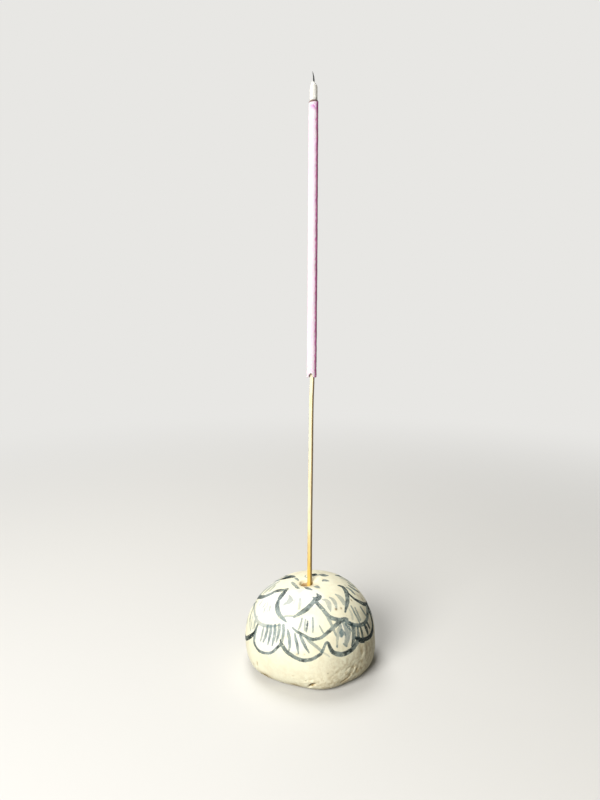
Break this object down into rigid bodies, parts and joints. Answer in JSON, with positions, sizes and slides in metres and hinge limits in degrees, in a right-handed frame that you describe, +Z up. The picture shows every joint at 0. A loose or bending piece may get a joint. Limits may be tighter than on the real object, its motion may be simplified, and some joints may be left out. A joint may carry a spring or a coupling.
{
  "type": "incense stick holder",
  "caption": "Hand-formed glazed clay dome with a dimpled socket, holding a partly burnt incense stick.",
  "frame": {"origin": "centre of the flat foot, on the surface that the holder stands on", "axes": "+Z up, +X to the right and +Y to the back of the holder as a person faces it"},
  "size_m": [0.0531, 0.0532, 0.229],
  "materials": {
    "glazed_clay": "cream glaze over white slip with brushed blue-grey scales",
    "bamboo": "bare split bamboo",
    "incense_paste": "dry pink wood-powder paste",
    "scorched_paste": "scorched paste",
    "ash": "crumbly pale ash",
    "charred_bamboo": "charred bamboo"
  },
  "bodies": {
    "holder": {"holder": "glazed_clay"},
    "stick": {"bamboo_splint": "bamboo", "incense_coat": "incense_paste", "scorched_ring": "scorched_paste", "ash_column": "ash", "charred_splint": "charred_bamboo"}
  },
  "joints": [
    {"name": "stick_lift", "type": "slide", "parent": "holder", "child": "stick", "axis": [0.0052, 0.0436, 0.999], "range_m": [0, 0.04]}
  ]
}
